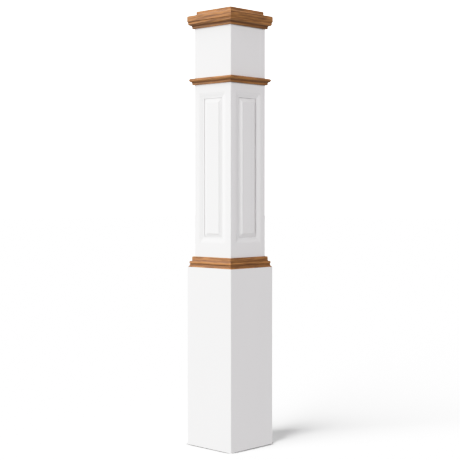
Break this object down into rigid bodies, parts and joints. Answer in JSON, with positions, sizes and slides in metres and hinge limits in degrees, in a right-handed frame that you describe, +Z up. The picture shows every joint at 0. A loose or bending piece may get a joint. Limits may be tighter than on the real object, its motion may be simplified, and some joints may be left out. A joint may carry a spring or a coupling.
{
  "type": "newel post",
  "caption": "Square hollow box newel post with raised panels, a wider plinth, oak mouldings and a stepped oak cap.",
  "frame": {"origin": "on the floor, at the middle of the post's foot", "axes": "+Z up along the post; -Y is the front face, and all four sides are alike"},
  "size_m": [0.19, 0.19, 1.3585],
  "materials": {
    "white_paint": "satin white paint on smooth board",
    "oak": "mid-brown stained oak, satin lacquer, grain along each length"
  },
  "bodies": {
    "root": {"shaft_board_front": "white_paint", "shaft_board_right": "white_paint", "shaft_board_back": "white_paint", "shaft_board_left": "white_paint", "raised_panel_front": "white_paint", "raised_panel_right": "white_paint", "raised_panel_back": "white_paint", "raised_panel_left": "white_paint", "plinth_board_front": "white_paint", "plinth_board_right": "white_paint", "plinth_board_back": "white_paint", "plinth_board_left": "white_paint", "base_moulding_front": "oak", "base_moulding_right": "oak", "base_moulding_back": "oak", "base_moulding_left": "oak", "neck_moulding_front": "oak", "neck_moulding_right": "oak", "neck_moulding_back": "oak", "neck_moulding_left": "oak", "cap_moulding_front": "oak", "cap_moulding_right": "oak", "cap_moulding_back": "oak", "cap_moulding_left": "oak", "cap_rail_front": "oak", "cap_rail_right": "oak", "cap_rail_back": "oak", "cap_rail_left": "oak", "cap_board": "oak"}
  },
  "joints": []
}
